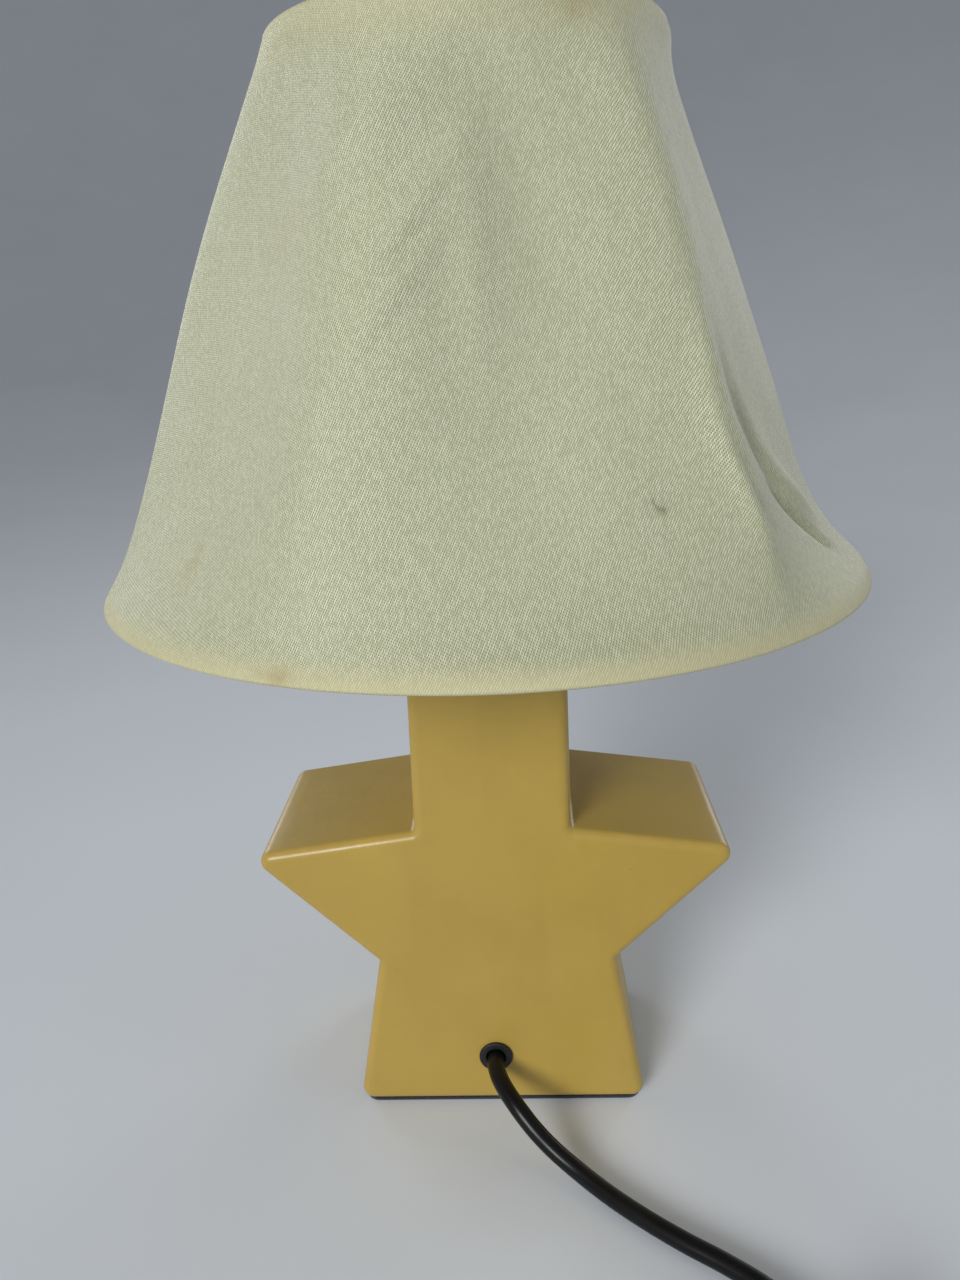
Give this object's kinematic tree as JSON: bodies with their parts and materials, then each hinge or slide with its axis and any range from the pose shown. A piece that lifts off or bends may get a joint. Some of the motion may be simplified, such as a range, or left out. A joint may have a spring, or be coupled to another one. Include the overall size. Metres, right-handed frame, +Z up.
{
  "type": "table lamp",
  "caption": "Small bedside table lamp: star-shaped glazed ceramic base, bell-shaped fabric shade on a wire frame, screw-in lamp, and a mains lead with an in-line rocker switch and a plug.",
  "frame": {"origin": "on the table, under the middle of the star base", "axes": "+Z up, along the axis of the neck, the lampholder and the shade; the lead leaves the base through its -Y face; +X to the right seen from that side"},
  "size_m": [0.2064, 0.3631, 0.2898],
  "materials": {
    "yellow_glaze": "satin mustard-yellow glaze",
    "black_felt": "thin black felt pad",
    "black_rubber": "moulded black rubber",
    "black_pvc": "smooth black cable sheath",
    "black_plastic": "moulded black plastic",
    "white_nylon": "natural nylon",
    "zinc_steel": "zinc-plated steel",
    "brass": "bright brass",
    "white_holder": "off-white thermoset moulding",
    "porcelain": "white porcelain",
    "brown_core": "brown core insulation",
    "blue_core": "blue core insulation",
    "clear_glass": "clear lamp glass",
    "tin_cap": "pressed aluminium lamp cap",
    "solder": "solder tip",
    "tungsten": "dull tungsten wire",
    "cream_fabric": "pale cream-yellow woven shade fabric with a satin sheen",
    "white_wire": "white powder-coated steel wire",
    "nickel": "nickel plate",
    "tie_paper": "pale strip round the coil"
  },
  "bodies": {
    "base": {"star_body": "yellow_glaze", "base_pad": "black_felt", "cord_grommet": "black_rubber", "cord_stop": "white_nylon", "inner_lead": "black_pvc", "threaded_tube": "zinc_steel", "tube_washer": "zinc_steel", "tube_nut": "zinc_steel", "neck_plate": "nickel", "holder_cap": "white_holder", "holder_grub_screw": "brass", "holder_shell": "white_holder", "holder_insert": "porcelain", "screw_shell": "brass", "centre_contact": "brass", "terminal_live": "brass", "terminal_neutral": "brass", "terminal_screw_live": "zinc_steel", "terminal_screw_neutral": "zinc_steel", "core_live": "brown_core", "core_neutral": "blue_core", "switch_lower_case": "black_plastic", "switch_upper_case": "black_plastic", "switch_screw": "zinc_steel", "switch_contact_fixed": "brass", "switch_contact_spring": "brass", "cord_lead": "black_pvc", "cord_link": "black_pvc", "cord_coil": "black_pvc", "coil_tie": "tie_paper", "cord_tail": "black_pvc", "plug_body": "black_plastic", "plug_boot": "black_rubber", "plug_pin_1": "nickel", "plug_pin_2": "nickel", "plug_sleeve_1": "black_plastic", "plug_sleeve_2": "black_plastic"},
    "shade": {"shade_cover": "cream_fabric", "shade_bottom_ring": "white_wire", "shade_top_ring": "white_wire", "shade_rib_1": "white_wire", "shade_rib_2": "white_wire", "shade_rib_3": "white_wire", "shade_rib_4": "white_wire", "shade_rib_5": "white_wire", "shade_rib_6": "white_wire", "carrier_ring": "white_wire", "carrier_arm_1": "white_wire", "carrier_arm_2": "white_wire", "carrier_arm_3": "white_wire"},
    "shade_ring": {"shade_ring": "white_holder"},
    "bulb_tip": {"bulb_contact": "solder"},
    "bulb": {"bulb_insulator": "black_plastic", "bulb_cap": "tin_cap", "bulb_glass": "clear_glass", "bulb_stem": "clear_glass", "bulb_wire_1": "nickel", "bulb_wire_2": "nickel", "bulb_filament": "tungsten"},
    "switch_rocker": {"switch_rocker": "black_plastic"}
  },
  "joints": [
    {"name": "shade_swivel", "type": "hinge", "parent": "base", "child": "shade", "pos_m": [0, 0, 0.1988], "axis": [0, 0, 1], "continuous": true},
    {"name": "shade_ring_turn", "type": "hinge", "parent": "base", "child": "shade_ring", "pos_m": [0, 0, 0.2005], "axis": [0, 0, 1], "range_deg": [0, 900]},
    {"name": "bulb_lift", "type": "slide", "parent": "base", "child": "bulb_tip", "axis": [0, 0, 1], "range_m": [0, 0.0142]},
    {"name": "bulb_turn", "type": "hinge", "parent": "bulb_tip", "child": "bulb", "pos_m": [0, 0, 0.195], "axis": [0, 0, 1], "range_deg": [0, 1800]},
    {"name": "switch_rock", "type": "hinge", "parent": "base", "child": "switch_rocker", "pos_m": [0.0844, -0.146, 0.0126], "axis": [-0.9659, -0.2588, 0], "range_deg": [0, 14]}
  ],
  "couplings": [
    {"joint": "bulb_lift", "follows": "bulb_turn", "m_per_rad": 0.00044882}
  ]
}
